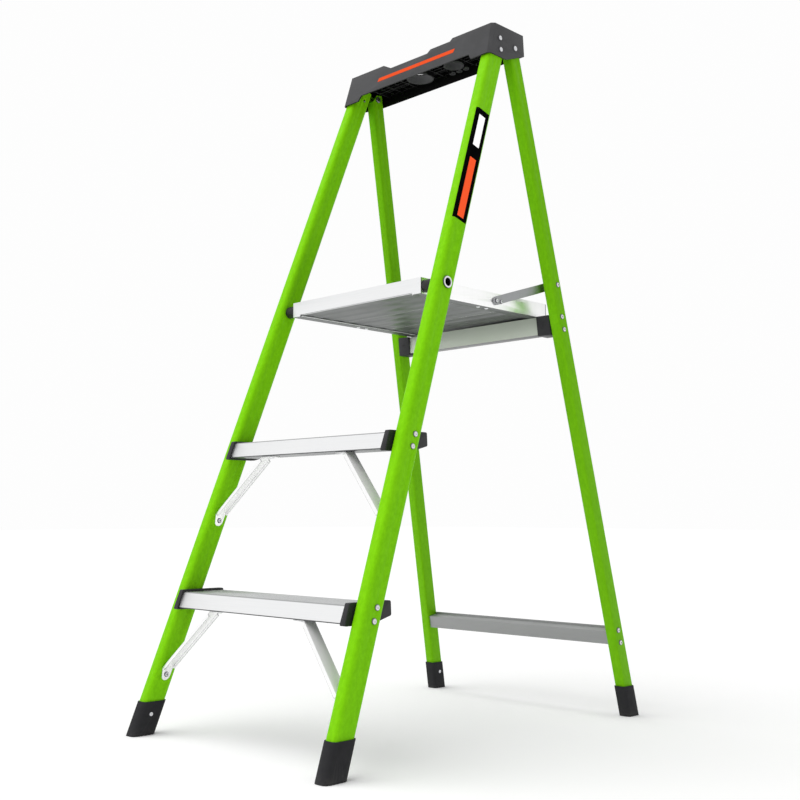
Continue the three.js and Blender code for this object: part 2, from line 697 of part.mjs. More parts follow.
function buildRearFrame() {
  const frame = new THREE.Group();
  frame.name = 'rear_frame';
  for (const [word, side] of SIDES) {
    const rail = railGroup(`rear_rail_line_${word}`, REAR, side);
    addMesh(rail, `rear_rail_${word}`, 'fibreglass', rearRail(side));
    frame.add(rail);
    const foot = forSide(boot(REAR, REAR_RAIL_START), side);
    addMesh(frame, `rear_boot_${word}`, 'rubber', foot, [side * HALF_SPAN, REAR.toeY, 0]);
    const at = [side * innerX(REAR, CROSSBAR.top), CROSSBAR.front, CROSSBAR.top];
    addMesh(frame, `crossbar_cap_${word}`, 'black_plastic', forSide(crossbarCap(), side), at);
  }
  addMesh(frame, 'rear_crossbar', 'aluminium', crossbar(), [0, CROSSBAR.front, CROSSBAR.top]);
  const braceAt = [0, frontY(REAR, LOWER_BRACE.z), LOWER_BRACE.z];
  addMesh(frame, 'lower_brace', 'aluminium', lowerBrace(), braceAt);
  return frame;
}

function rearPivotRivet() {
  const outside = capEndX(REAR_PIVOT.z) + REAR_PIVOT.head * SPLAY;
  const grip = outside - innerX(REAR, REAR_PIVOT.z) + REAR_PIVOT.tail * SPLAY;
  return { geometry: rivetX(REAR_PIVOT, grip, 16), outside };
}

// ---------------------------------------------------------------- platform
function platformSide() {
  const { front, rear, top, bottom, half } = PLATFORM;
  const { metal, flange } = SIDE_PLATE;
  const section = [
    [half, top], [half - metal, top], [half - metal, bottom + metal],
    [half - flange, bottom + metal], [half - flange, bottom], [half, bottom],
  ];
  const start = front + END_PLATE.metal + GAP;
  const end = rear - END_PLATE.metal - GAP;
  const { y, z, tube } = PLATFORM_PIVOT;
  return cut(
    prismY(section, start, end),
    rodX(tube + GAP, 180, 210, y, z, 20),
    rodX(LINK_PIN.shank + GAP, 180, 210, LINK.y, LINK.z, 12),
  );
}

// Hollow plank with a ribbed top and a few shallow grooves underneath.
function plank(depth) {
  const top = PLATFORM.top - 0.4;
  const bottom = PLATFORM.bottom + SIDE_PLATE.metal + GAP;
  const { skin, half } = PLANK;
  const points = [[0, bottom]];
  const groovePitch = depth / DECK_GROOVE.count;
  for (let i = 0; i < DECK_GROOVE.count; i += 1) {
    const y = groovePitch * i;
    const roof = bottom + DECK_GROOVE.depth;
    points.push([y + groovePitch * 0.2, bottom], [y + groovePitch * 0.24, roof]);
    points.push([y + groovePitch * 0.76, roof], [y + groovePitch * 0.8, bottom]);
  }
  points.push([depth, bottom]);
  const ribPitch = depth / DECK_RIB.count;
  const valley = top - DECK_RIB.height;
  for (let i = DECK_RIB.count - 1; i >= 0; i -= 1) {
    const y = ribPitch * i;
    const valleyStart = i === 0 ? 0 : y + ribPitch * 0.15;
    points.push([y + ribPitch, top], [y + ribPitch * 0.6, top]);
    points.push([y + ribPitch * 0.6, valley], [valleyStart, valley]);
  }
  const hollows = [];
  const cells = 3;
  const low = bottom + DECK_GROOVE.depth + skin;
  const high = valley - skin;
  for (let i = 0; i < cells; i += 1) {
    const y0 = depth * i / cells + skin / (i === 0 ? 1 : 2);
    const y1 = depth * (i + 1) / cells - skin / (i === cells - 1 ? 1 : 2);
    hollows.push(box(-half - 5, half + 5, y0, y1, low, high));
  }
  return cut(prismX(points, -half, half), ...hollows);
}

function endPlate() {
  const { top, bottom, half } = PLATFORM;
  const { metal, relief, reliefHalf } = END_PLATE;
  const outline = [
    [-half, bottom + 0.4], [-reliefHalf, bottom + 0.4], [-reliefHalf, bottom + relief],
    [reliefHalf, bottom + relief], [reliefHalf, bottom + 0.4], [half, bottom + 0.4],
    [half, top - 0.2], [-half, top - 0.2],
  ];
  return prismY(outline, 0, metal);
}

function buildPlatform() {
  const platform = new THREE.Group();
  platform.name = 'platform';
  const { front, rear } = PLATFORM;
  const hinge = [0, PLATFORM_PIVOT.y, PLATFORM_PIVOT.z];
  for (const [word, side] of SIDES) {
    const at = [side * PLATFORM.half, hinge[1], hinge[2]];
    addMesh(platform, `platform_side_${word}`, 'aluminium', forSide(platformSide(), side), at);
  }
  const start = front + END_PLATE.metal + 2 * GAP;
  const room = rear - front - 2 * (END_PLATE.metal + 2 * GAP);
  const depth = (room - (PLANK.count - 1) * PLANK.seam) / PLANK.count;
  for (let i = 0; i < PLANK.count; i += 1) {
    const mesh = addMesh(platform, `platform_plank_${i + 1}`, 'aluminium', plank(depth));
    mesh.position.y = start + i * (depth + PLANK.seam);
  }
  addMesh(platform, 'platform_front_plate', 'aluminium', endPlate()).position.y = front;
  const back = addMesh(platform, 'platform_rear_plate', 'aluminium', endPlate());
  back.position.y = rear - END_PLATE.metal;
  return platform;
}

// ---------------------------------------------------------------- platform hinge
// Hollow rivet through rail, spacer and side plate, rolled over at both ends.
function pivotTube() {
  const { bore, tube } = PLATFORM_PIVOT;
  const { outer, outerRise, inner, innerRise } = PIVOT_LIP;
  const low = PLATFORM.half - SIDE_PLATE.metal - GAP;
  const high = outerX(PLATFORM_PIVOT.z) + GAP + outer * SPLAY;
  const outline = [
    [bore, low - innerRise], [inner - 0.8, low - innerRise], [inner, low - innerRise + 0.8],
    [inner, low], [tube, low], [tube, high], [outer, high], [outer, high + outerRise - 1.6],
    [outer - 0.6, high + outerRise - 0.5], [outer - 1.8, high + outerRise],
    [bore + 1.6, high + outerRise], [bore + 0.4, high + outerRise - 0.6],
    [bore, high + outerRise - 1.8], [bore, low - innerRise],
  ];
  const points = outline.map(([r, x]) => new THREE.Vector2(r, x));
  return new THREE.LatheGeometry(points, 28).rotateZ(-Math.PI / 2);
}

function pivotSpacer() {
  const { tube, spacer, z } = PLATFORM_PIVOT;
  const inner = PLATFORM.half + GAP;
  const outer = innerX(FRONT, z + spacer) - GAP;
  const bore = tube + GAP;
  const points = [
    [bore, inner], [spacer - 1, inner], [spacer, inner + 1], [spacer, outer - 1],
    [spacer - 1, outer], [bore, outer], [bore, inner],
  ].map(([r, x]) => new THREE.Vector2(r, x));
  return new THREE.LatheGeometry(points, 24).rotateZ(-Math.PI / 2);
}

// ---------------------------------------------------------------- side links
// Flat bar with rounded ends and a double bend, lying along local +Y from its pin.
function linkBar() {
  const length = Math.hypot(LINK.endY - LINK.y, LINK.endZ - LINK.z);
  const { width, metal } = LINK;
  const { near, far, bendNear, bendFar } = LINK_X;
  const face = [
    [near, -width], [near, bendNear], [far, length - bendFar], [far, length + width],
    [far + metal, length + width], [far + metal, length - bendFar], [near + metal, bendNear],
    [near + metal, -width],
  ];
  const bent = prismZ(face, -width, width);
  const outline = [];
  for (let i = 0; i <= 10; i += 1) {
    const angle = Math.PI / 2 + Math.PI * i / 10;
    outline.push([width / 2 * Math.cos(angle), width / 2 * Math.sin(angle)]);
  }
  for (let i = 0; i <= 10; i += 1) {
    const angle = -Math.PI / 2 + Math.PI * i / 10;
    outline.push([length + width / 2 * Math.cos(angle), width / 2 * Math.sin(angle)]);
  }
  const blank = prismX(outline, 150, 250);
  const pinHole = rodX(LINK_PIN.shank + GAP, 150, 250, 0, 0, 12);
  return cut(overlap(bent, blank), pinHole);
}

function linkPin() {
  const outside = LINK_X.near + LINK.metal;
  const inner = PLATFORM.half - SIDE_PLATE.metal;
  const spec = { ...LINK_PIN, tail: LINK_PIN.head, tailRise: 1.6 };
  return { geometry: rivetX(spec, outside - inner, 16), outside };
}

function buildLinks() {
  const links = new THREE.Group();
  links.name = 'side_links';
  const slope = Math.atan2(LINK.endZ - LINK.z, LINK.endY - LINK.y);
  for (const [word, side] of SIDES) {
    const mesh = addMesh(links, `link_${word}`, 'aluminium', forSide(linkBar(), side));
    mesh.position.set(0, LINK.y, LINK.z);
    mesh.rotation.x = slope;
    const { geometry, outside } = linkPin();
    const pin = addMesh(links, `link_pin_${word}`, 'zinc', forSide(geometry, side));
    pin.position.set(side * outside, LINK.y, LINK.z);
  }
  return links;
}

// ---------------------------------------------------------------- assembly
function buildHingeParts() {
  const group = new THREE.Group();
  group.name = 'hinge_parts';
  for (const [word, side] of SIDES) {
    const { y, z } = PLATFORM_PIVOT;
    const tube = addMesh(group, `platform_pivot_tube_${word}`, 'zinc', forSide(pivotTube(), side));
    tube.position.set(0, y, z);
    const spacer = addMesh(group, `pivot_spacer_${word}`, 'black_plastic', forSide(pivotSpacer(), side));
    spacer.position.set(0, y, z);
    const { geometry, outside } = rearPivotRivet();
    const rivet = addMesh(group, `rear_pivot_rivet_${word}`, 'zinc', forSide(geometry, side));
    rivet.position.set(side * outside, REAR_PIVOT.y, REAR_PIVOT.z);
  }
  return group;
}

const ladder = new THREE.Group();
ladder.name = 'platform_stepladder';
ladder.position.y = -CENTRE_Y;
ladder.add(buildFrontFrame(), buildRearFrame(), buildPlatform(), buildLinks(), buildHingeParts());

export default ladder;
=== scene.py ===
"""Folding platform stepladder: finishes, small fittings, label and studio for the CAD frame.

Metres, +Z up. -Y is the climbing side and +X the climber's right.
"""
import json
import math

import bmesh
import bpy
from mathutils import Euler, Matrix, Vector
from mathutils.bvhtree import BVHTree


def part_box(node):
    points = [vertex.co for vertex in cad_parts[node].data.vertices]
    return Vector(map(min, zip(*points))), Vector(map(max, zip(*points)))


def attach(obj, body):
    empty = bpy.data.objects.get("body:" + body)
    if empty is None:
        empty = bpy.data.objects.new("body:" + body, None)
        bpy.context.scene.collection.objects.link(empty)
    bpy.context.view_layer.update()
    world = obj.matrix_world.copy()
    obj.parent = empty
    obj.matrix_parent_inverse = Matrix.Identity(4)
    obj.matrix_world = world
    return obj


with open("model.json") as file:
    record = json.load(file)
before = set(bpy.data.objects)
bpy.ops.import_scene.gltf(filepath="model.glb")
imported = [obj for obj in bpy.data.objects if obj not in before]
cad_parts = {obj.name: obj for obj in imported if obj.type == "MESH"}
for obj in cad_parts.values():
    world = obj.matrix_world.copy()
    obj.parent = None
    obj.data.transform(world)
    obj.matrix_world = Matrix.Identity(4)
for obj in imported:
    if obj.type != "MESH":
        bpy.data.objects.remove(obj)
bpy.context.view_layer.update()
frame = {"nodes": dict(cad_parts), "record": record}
NODES = frame["nodes"]

SIDES = (("left", -1), ("right", 1))
X_AXIS = Vector((1, 0, 0))
Z_AXIS = Vector((0, 0, 1))

# ------------------------------------------------------------------ view and light
CAMERA_PLACE = (1.668, -1.676, 0.4293)
CAMERA_TURN_DEG = (96.375, 0.0, 44.79)
CAMERA_LENS_MM = 50.0
CAMERA_SENSOR_MM = 36.0
CAMERA_SHIFT = (0.005, -0.0102)

SKY = 0.47                  # light that the sky gives to matt surfaces
BACKGROUND = 0.985          # what the camera and mirror-like surfaces see of it
KEY_FROM = (-0.30, -0.45, 0.84)
KEY_STRENGTH = 2.05
KEY_SPREAD_DEG = 75
FLOOR_HALF = 30.0
FLOOR_LEVEL = -0.0005       # just below the boots' soles
FLOOR_COLOUR = (0.95, 0.95, 0.95)
FLOOR_GLOW = 0.09           # lifts the floor to the tone of the background

# ------------------------------------------------------------------ finishes
LIME = (0.225, 0.670, 0.004)
LIME_DEEP = (0.185, 0.580, 0.002)
LIME_PALE = (0.270, 0.720, 0.008)
REAR_RAIL_PAINTED_SHADE = 0.80       # painted shade: the rear rails are darker than the front ones
# painted light: tone of an extrusion's faces toward the climbing side
PAINTED_LIT_METAL = (0.900, 0.905, 0.910)
# painted shade: tone of an extrusion's other faces
PAINTED_SHADED_METAL = (0.205, 0.210, 0.218)
# painted shade on the deck planks' faces away from the climbing side and on the side plates' downward faces
DECK_PAINTED_SHADE = (0.230, 0.240, 0.236)
# painted light on the crossbar's front, tinted green as a painted reflection of the rails; painted shade on
# its other faces
CROSSBAR_PAINTED_LIT_FRONT = (0.600, 0.650, 0.565)
CROSSBAR_PAINTED_SHADED_BACK = (0.110, 0.112, 0.114)
LINK_METAL = (0.330, 0.335, 0.345)
# painted light on a tread's upward faces
TREAD_TOP_PAINTED_LIGHT = (0.760, 0.770, 0.765)
# painted shade lines along the lower and upper edges of a tread's front
HEM_SHADE = (0.085, 0.087, 0.090)
BROW_SHADE = (0.400, 0.405, 0.410)
REAR_METAL = (0.310, 0.313, 0.315)
BRACE_METAL = (0.990, 0.990, 0.990)
# painted shade on the braces' upward faces
BRACE_SHADE = (0.700, 0.690, 0.700)
# painted dark reflection along sheet edges
CUT_EDGE_SHADE = (0.080, 0.084, 0.088)
ZINC = (0.860, 0.860, 0.880)
# painted shade on the slopes of a rivet head
ZINC_SHADE = (0.130, 0.130, 0.140)
CHARCOAL = (0.082, 0.082, 0.085)
BLACK = (0.020, 0.020, 0.022)
HOLLOW_SHADE = 0.02         # painted shade: share of the tone left inside a hollow moulding
HOLLOW_UNDERSIDE_PAINTED_SHADE = 0.22          # painted shade: share of it left on the lower edges of the ribs and walls
RUBBER = (0.014, 0.014, 0.016)
LABEL_BLACK = (0.003, 0.003, 0.003)
ACCENT = (0.850, 0.095, 0.026)
PRINT_WHITE = (0.950, 0.950, 0.940)
LABEL_PAINTED_GLOW = 0.35           # painted glow given off by the label's bars, though they are no lamp
PRINT_ROUGHNESS = 0.42
LINE_BLUR = 0.0004          # half the width over which a drawn line fades out

# ------------------------------------------------------------------ small pieces
WELD_GAP = 0.00001          # corners of a CAD shell that are nearer than this are joined
EDGE_BEVEL = 0.00035        # rounding of the sharp CAD edges
SHARP_ANGLE_DEG = 38
FILM = 0.00025              # thickness of a stuck-on label
FILM_STRIPS = 36            # flat strips that follow the rail's rounded section
LIFT = 0.0001               # clearance under a film or a rivet head
ROUND_SIDES = 20            # flat sides of a turned piece
FAR = 0.3                   # start of a search line, well outside the surface that it looks for
ABOVE_RAIL = 0.05           # the same for the label's rail
HEM = 0.0018                # height of the painted shade along the lower edge of an extrusion
BROW = 0.0018               # height of the painted shade line along a tread's front top edge
CUT_EDGE = 0.0017           # width of the painted dark reflection along the edges of sheared sheet

# Rivet heads: radius, then rise above the surface.
RAIL_RIVET = (0.0059, 0.0025)
BOOT_RIVET = (0.0046, 0.0018)
BRACE_RIVET = (0.0054, 0.0026)
DECK_RIVET = (0.0042, 0.0018)
LINK_STUD = (0.0046, 0.0022)

# Where they sit, as distances from a node's box or from its middle.
BOOT_RIVET_LEVEL = 0.63     # share of the boot's height
BRACE_FOOT = (0.0106, 0.0114)       # y and z from the lowest corner
BRACE_TREAD_TAB = (0.0110, 0.0124)  # x from the inboard end, and y from the back
UNDER_TAB = 0.030           # start of the line that looks up at the tab, from the brace's top
DECK_RIVET_INSET = 0.0120   # x from the side plate's outer face
DECK_RIVET_RUNS = (0.1833, 0.2098)  # y from the front
LINK_STUD_AWAY = (0.0145, -0.0006)  # y and z from the pin

# Round sink mark on a crossbar cap: radius and height of each ring, and z from the cap's middle.
SINK_MARK = ((0.0034, 0.0), (0.0034, 0.0005), (0.0028, 0.0005), (0.0024, 0.0001), (0.0004, 0.0001))
SINK_MARK_ABOVE = 0.0020

# Label and its bars: distance up the rail, then distance across its side from the rail's front.
LABEL_ALONG = (1.084, 1.352)
LABEL_ACROSS = (0.0018, 0.0386)
LABEL_BARS = (
    ("label_bar_orange", (1.091, 1.232), (0.0105, 0.0285), ACCENT),
    ("label_bar_white", (1.262, 1.338), (0.0105, 0.0285), PRINT_WHITE),
)
LABEL_SLANT = 0.31          # how much lower the label's ends are per distance across

# Radius of each tool hole in the top, and the wall of the tube around it.
TOOL_BORES = {
    "large_tool_hole": 0.0290, "medium_tool_hole": 0.0205,
    "small_tool_hole_1": 0.0046, "small_tool_hole_2": 0.0046, "small_tool_hole_3": 0.0046,
}
BORE_WALL = 0.0026

# From the cap's lowest and highest corners to those of the room under its tray.
HOLLOW_FROM_LOW = (0.010, 0.032, 0.0380)
HOLLOW_FROM_HIGH = (0.010, 0.008, 0.0175)

# Bar on the cap: half its length, its lower and upper edge, and how far the upper edge is shifted.
CAP_BAR_HALF = 0.118
CAP_BAR_Z = (1.4335, 1.4425)
CAP_BAR_SLANT = 0.003

# Fine ribs under the tray.
RIB_PITCH = (0.023, 0.0185)
RIB_THICKNESS = 0.0012
FINE_RIBS_HALF = 0.172      # half the length of the ribbed area
FINE_RIBS_BELOW = (0.0180, 0.0300)  # their upper and lower edges, below the top
FINE_RIBS_INSET = (0.030, 0.012)    # from the cap's front and back
FINE_ROWS_START = 0.004     # from the front of the ribs to the first one that runs along X


class Finish:
    """One procedural material, with short calls for the nodes that the finishes share."""

    def __init__(self, name, metallic=0.0, specular=0.5):
        self.material = bpy.data.materials.new(name)
        self.material.use_nodes = True
        self.tree = self.material.node_tree
        self.shader = self.tree.nodes["Principled BSDF"]
        self.shader.inputs["Metallic"].default_value = metallic
        self.shader.inputs["Specular IOR Level"].default_value = specular

    def node(self, kind, **settings):
        made = self.tree.nodes.new(kind)
        for key, value in settings.items():
            setattr(made, key, value)
        return made

    def feed(self, socket, value):
        """Link a node output to a socket, or set the socket to a plain value."""
        if isinstance(value, bpy.types.NodeSocket):
            self.tree.links.new(value, socket)
        elif socket.type == "RGBA":
            socket.default_value = (*value, 1.0)
        else:
            socket.default_value = value

    def place(self):
        """Coordinates of the surface in the part's own frame, in metres."""
        return self.node("ShaderNodeTexCoord").outputs["Object"]

    def vector(self, operation, first, second):
        """Result of a vector operation on two inputs, each a node output or a plain value."""
        made = self.node("ShaderNodeVectorMath", operation=operation)
        self.feed(made.inputs[0], first)
        self.feed(made.inputs["Scale"] if operation == "SCALE" else made.inputs[1], second)
        gives_number = operation in ("DOT_PRODUCT", "DISTANCE")
        return made.outputs["Value"] if gives_number else made.outputs["Vector"]

    def facing(self, axis):
        """How far the surface faces along an axis of the part, from -1 to 1."""
        normal = self.node("ShaderNodeTexCoord").outputs["Normal"]
        return self.vector("DOT_PRODUCT", normal, axis)

    def height(self):
        """Height of the surface above the part's origin."""
        split = self.node("ShaderNodeSeparateXYZ")
        self.feed(split.inputs["Vector"], self.place())
        return split.outputs["Z"]

    def stretched(self, axis, length):
        """Coordinates in which a pattern is drawn out along axis by that many times."""
        place = self.place()
        along = self.vector("DOT_PRODUCT", place, axis)
        shorten = self.math("MULTIPLY", along, 1.0 / length - 1.0)
        return self.vector("ADD", place, self.vector("SCALE", axis, shorten))

    def math(self, operation, first, second):
        """Result of an operation on two numbers, each a node output or a plain value."""
        made = self.node("ShaderNodeMath", operation=operation)
        self.feed(made.inputs[0], first)
        self.feed(made.inputs[1], second)
        return made.outputs["Value"]

    def noise(self, vector, size, detail=3.0, roughness=0.55):
        """Noise whose patches are about that size, in metres."""
        made = self.node("ShaderNodeTexNoise")
        self.feed(made.inputs["Vector"], vector)
        made.inputs["Scale"].default_value = 1.0 / size
        made.inputs["Detail"].default_value = detail
        made.inputs["Roughness"].default_value = roughness
        return made.outputs["Fac"]

    def span(self, value, low, high, to_low=0.0, to_high=1.0):
        """Map value from low..high to to_low..to_high, clamped."""
        made = self.node("ShaderNodeMapRange")
        self.feed(made.inputs["Value"], value)
        made.inputs["From Min"].default_value = low
        made.inputs["From Max"].default_value = high
        made.inputs["To Min"].default_value = to_low
        made.inputs["To Max"].default_value = to_high
        return made.outputs["Result"]

    def mix(self, factor, first, second):
        """The first colour where factor is 0 and the second where it is 1."""
        made = self.node("ShaderNodeMix", data_type="RGBA")
        self.feed(made.inputs["Factor"], factor)
        colours = [socket for socket in made.inputs if socket.type == "RGBA"]
        self.feed(colours[0], first)
        self.feed(colours[1], second)
        return next(socket for socket in made.outputs if socket.type == "RGBA")

    def looks_inward(self, centre):
        """1 where the surface faces a point of the part, 0 where it faces away from it."""
        to_centre = self.vector("SUBTRACT", centre, self.place())
        normal = self.node("ShaderNodeTexCoord").outputs["Normal"]
        return self.span(self.vector("DOT_PRODUCT", normal, to_centre), 0.0, 0.001)

    def beyond(self, x, y, radius):
        """0 within radius of the vertical line through x and y, and 1 beyond it."""
        flat = self.vector("MULTIPLY", self.place(), (1.0, 1.0, 0.0))
        return self.span(self.vector("DISTANCE", flat, (x, y, 0.0)), radius, radius + LINE_BLUR)

    def within(self, low, high):
        """1 inside the box from low to high, 0 outside it."""
        away = self.vector("SUBTRACT", self.place(), (low + high) / 2)
        share = self.vector("DIVIDE", away, (high - low) / 2)
        split = self.node("ShaderNodeSeparateXYZ")
        self.feed(split.inputs["Vector"], self.vector("ABSOLUTE", share, (0.0, 0.0, 0.0)))
        farthest = self.math("MAXIMUM", split.outputs["X"], split.outputs["Y"])
        farthest = self.math("MAXIMUM", farthest, split.outputs["Z"])
        return self.math("LESS_THAN", farthest, 1.0)

    def cut_edges(self, width):
        """1 within that distance of a sharp edge, 0 elsewhere."""
        rounded = self.node("ShaderNodeBevel", samples=16)
        rounded.inputs["Radius"].default_value = width
        plain = self.node("ShaderNodeNewGeometry").outputs["Normal"]
        turned = self.vector("DOT_PRODUCT", rounded.outputs["Normal"], plain)
        return self.span(turned, 0.80, 0.97, 1.0, 0.0)

    def worn_edges(self):
        """1 on convex edges and 0 elsewhere."""
        return self.span(self.node("ShaderNodeNewGeometry").outputs["Pointiness"], 0.53, 0.62)

    def bump(self, height, depth, strength):
        """Relief of that depth, in metres."""
        made = self.node("ShaderNodeBump")
        made.inputs["Distance"].default_value = depth
        made.inputs["Strength"].default_value = strength
        self.feed(made.inputs["Height"], height)
        self.feed(self.shader.inputs["Normal"], made.outputs["Normal"])

    def colour(self, value):
        self.feed(self.shader.inputs["Base Color"], value)

    def roughness(self, value):
        self.feed(self.shader.inputs["Roughness"], value)


def fibreglass(name, axis, tone):
    """Lime pultruded fibreglass: blotchy surface veil over strands that run along the rail.

    The tone scales its colours; the rear rails take a lower one, as painted shade.
    """
    finish = Finish(name, specular=0.06)
    lime, deep, light = (tuple(tone * part for part in shade) for shade in (LIME, LIME_DEEP, LIME_PALE))
    veil = finish.noise(finish.stretched(axis, 1.6), 0.0065, detail=5.0, roughness=0.62)
    strand = finish.noise(finish.stretched(axis, 40.0), 0.0011, detail=3.0)
    cloud = finish.noise(finish.stretched(axis, 3.0), 0.060, detail=2.0)
    base = finish.mix(finish.span(veil, 0.36, 0.66), deep, lime)
    pale = finish.math("MULTIPLY", finish.span(cloud, 0.45, 0.75), 0.30)
    base = finish.mix(pale, base, light)
    base = finish.mix(finish.span(strand, 0.60, 0.85, 0.0, 0.35), base, light)
    finish.colour(finish.mix(finish.math("MULTIPLY", finish.worn_edges(), 0.25), base, light))
    finish.roughness(finish.span(veil, 0.3, 0.7, 0.52, 0.40))
    finish.bump(finish.math("ADD", veil, strand), 0.00008, 0.5)
    return finish.material


def extruded_aluminium(name, shaded, lit_tone=PAINTED_LIT_METAL, top=None, edges=None, sheen=1.0, metallic=1.0):
    """Satin extrusion drawn along X, with painted light on its climbing side and painted shade elsewhere.

    The top is the painted light tone of its upper faces. The edges are the heights between which the
    sloping front is plain: painted shade darkens it below and above them. A sheen below 1 keeps
    oxidised metal from turning mirror-like at a low angle.
    """
    finish = Finish(name, metallic=metallic)
    finish.shader.inputs["Specular Tint"].default_value = (sheen, sheen, sheen, 1.0)
    lines = finish.noise(finish.stretched(X_AXIS, 90.0), 0.0012, detail=4.0)
    haze = finish.noise(finish.stretched(X_AXIS, 2.5), 0.040, detail=3.0)
    # painted light on faces toward the climbing side, painted shade on the rest
    front = finish.span(finish.facing((0, -1, 0)), 0.25, 0.55)
    upward = finish.facing(Z_AXIS)
    shaded_tone = finish.mix(finish.span(haze, 0.35, 0.7), shaded, tuple(0.85 * part for part in shaded))
    if top is not None:
        # painted light on the upward faces
        shaded_tone = finish.mix(finish.span(upward, 0.5, 0.8), shaded_tone, top)
    if edges is not None:
        # painted shade lines along the front's lower and upper edges
        low, high = edges
        foot = finish.span(finish.height(), low - LINE_BLUR, low + LINE_BLUR)
        brow = finish.span(finish.height(), high - LINE_BLUR, high + LINE_BLUR)
        on_slope = finish.math("MULTIPLY", brow, finish.span(upward, 0.10, 0.25))
        lit_tone = finish.mix(on_slope, finish.mix(foot, HEM_SHADE, lit_tone), BROW_SHADE)
    base = finish.mix(front, shaded_tone, lit_tone)
    base = finish.mix(finish.span(lines, 0.35, 0.75, 0.0, 0.08), base, (0.55, 0.56, 0.57))
    finish.colour(base)
    finish.roughness(finish.span(finish.math("ADD", lines, haze), 0.7, 1.3, 0.32, 0.46))
    finish.bump(lines, 0.00005, 0.35)
    return finish.material


def pressed_aluminium(name, tone, shaded=None, toward=Z_AXIS, shaded_metallic=1.0, sheen=1.0, edge=None):
    """Sheet or bar stock with a light rolled grain and a few scuffs, with painted shade where it faces
    toward.

    The faces in painted shade have a tone and a metallic share of their own. The edge is the width
    of the painted dark reflection along its sheared edges.
    """
    finish = Finish(name, metallic=1.0, specular=0.2)
    finish.shader.inputs["Specular Tint"].default_value = (sheen, sheen, sheen, 1.0)
    grain = finish.noise(finish.place(), 0.0016, detail=4.0)
    scuff = finish.noise(finish.stretched(Z_AXIS, 5.0), 0.009, detail=5.0, roughness=0.7)
    base = tone
    # painted shade on the faces that point toward
    if shaded is not None:
        facing = finish.facing(toward)
        base = finish.mix(finish.span(facing, 0.4, 0.7), tone, shaded)
        finish.feed(finish.shader.inputs["Metallic"], finish.span(facing, 0.4, 0.7, 1.0, shaded_metallic))
    scuffs = finish.span(scuff, 0.50, 0.72, 0.0, 0.08)
    base = finish.mix(scuffs, base, tuple(0.7 * part for part in tone))
    # painted dark reflection along the sharp edges
    if edge is not None:
        base = finish.mix(finish.cut_edges(edge), base, CUT_EDGE_SHADE)
    finish.colour(base)
    finish.roughness(finish.span(scuff, 0.35, 0.7, 0.30, 0.42))
    finish.bump(grain, 0.00002, 0.3)
    return finish.material


def moulded_plastic(name, tone, roughness=0.55, specular=0.30, hollow=None, bores=()):
    """Moulded plastic with a spark-eroded grain, slight cloudiness and paler rubbed edges.

    A hollow moulding takes much darker painted shade on the faces in its hollow, a box given by two
    corners, and on those that look toward the middle of the box. Its bores, which are open to the
    light, are not. Its downward faces take a lighter painted shade.
    A bore is the x and y of its axis and its radius.
    """
    finish = Finish(name, specular=specular)
    grain = finish.noise(finish.place(), 0.0009, detail=2.0)
    cloud = finish.noise(finish.place(), 0.035, detail=3.0)
    deep = tuple(0.82 * part for part in tone)
    pale = tuple(1.9 * part + 0.01 for part in tone)
    base = finish.mix(finish.span(cloud, 0.35, 0.7), deep, tone)
    base = finish.mix(finish.math("MULTIPLY", finish.worn_edges(), 0.35), base, pale)
    # painted shade in the hollow and on the downward faces
    if hollow is not None:
        downward = finish.facing((0, 0, -1))
        inside = finish.math("MULTIPLY", finish.within(*hollow), finish.span(downward, 0.7, 0.9, 1.0, 0.0))
        inward = finish.math("MAXIMUM", inside, finish.looks_inward(sum(hollow, Vector()) / 2))
        for x, y, radius in bores:
            inward = finish.math("MULTIPLY", inward, finish.beyond(x, y, radius + LIFT))
        under = finish.span(downward, 0.7, 0.9)
        base = finish.mix(under, base, tuple(HOLLOW_UNDERSIDE_PAINTED_SHADE * part for part in tone))
        base = finish.mix(inward, base, tuple(HOLLOW_SHADE * part for part in tone))
    finish.colour(base)
    finish.roughness(finish.span(cloud, 0.3, 0.7, roughness - 0.06, roughness + 0.07))
    finish.bump(grain, 0.00008, 0.6)
    return finish.material


def boot_rubber(name):
    """Matte rubber, dusty and scuffed toward the sole."""
    finish = Finish(name, specular=0.22)
    grain = finish.noise(finish.place(), 0.0012, detail=3.0)
    dust = finish.noise(finish.place(), 0.012, detail=5.0, roughness=0.7)
    low = finish.span(finish.height(), 0.0, 0.022, 1.0, 0.0)
    worn = finish.math("MULTIPLY", low, finish.span(dust, 0.4, 0.7))
    base = finish.mix(finish.math("MULTIPLY", worn, 0.5), RUBBER, (0.085, 0.082, 0.078))
    finish.colour(finish.mix(finish.math("MULTIPLY", finish.worn_edges(), 0.3), base, (0.06, 0.06, 0.062)))
    finish.roughness(finish.span(dust, 0.3, 0.7, 0.62, 0.80))
    finish.bump(grain, 0.00010, 0.6)
    return finish.material


def zinc_plate(name, axis, shade):
    """Zinc-plated steel with faint mottling, with painted shade of the given tone on the slopes of a head
    turned about axis.
    """
    finish = Finish(name, metallic=1.0)
    mottle = finish.noise(finish.place(), 0.0022, detail=4.0)
    # painted shade on the slopes of the head
    crown = finish.span(finish.math("ABSOLUTE", finish.facing(axis), 0.0), 0.80, 0.97)
    lit = finish.mix(finish.span(mottle, 0.35, 0.7), ZINC, (0.66, 0.67, 0.70))
    finish.colour(finish.mix(crown, shade, lit))
    finish.roughness(finish.span(mottle, 0.3, 0.7, 0.22, 0.38))
    finish.bump(mottle, 0.00003, 0.4)
    return finish.material


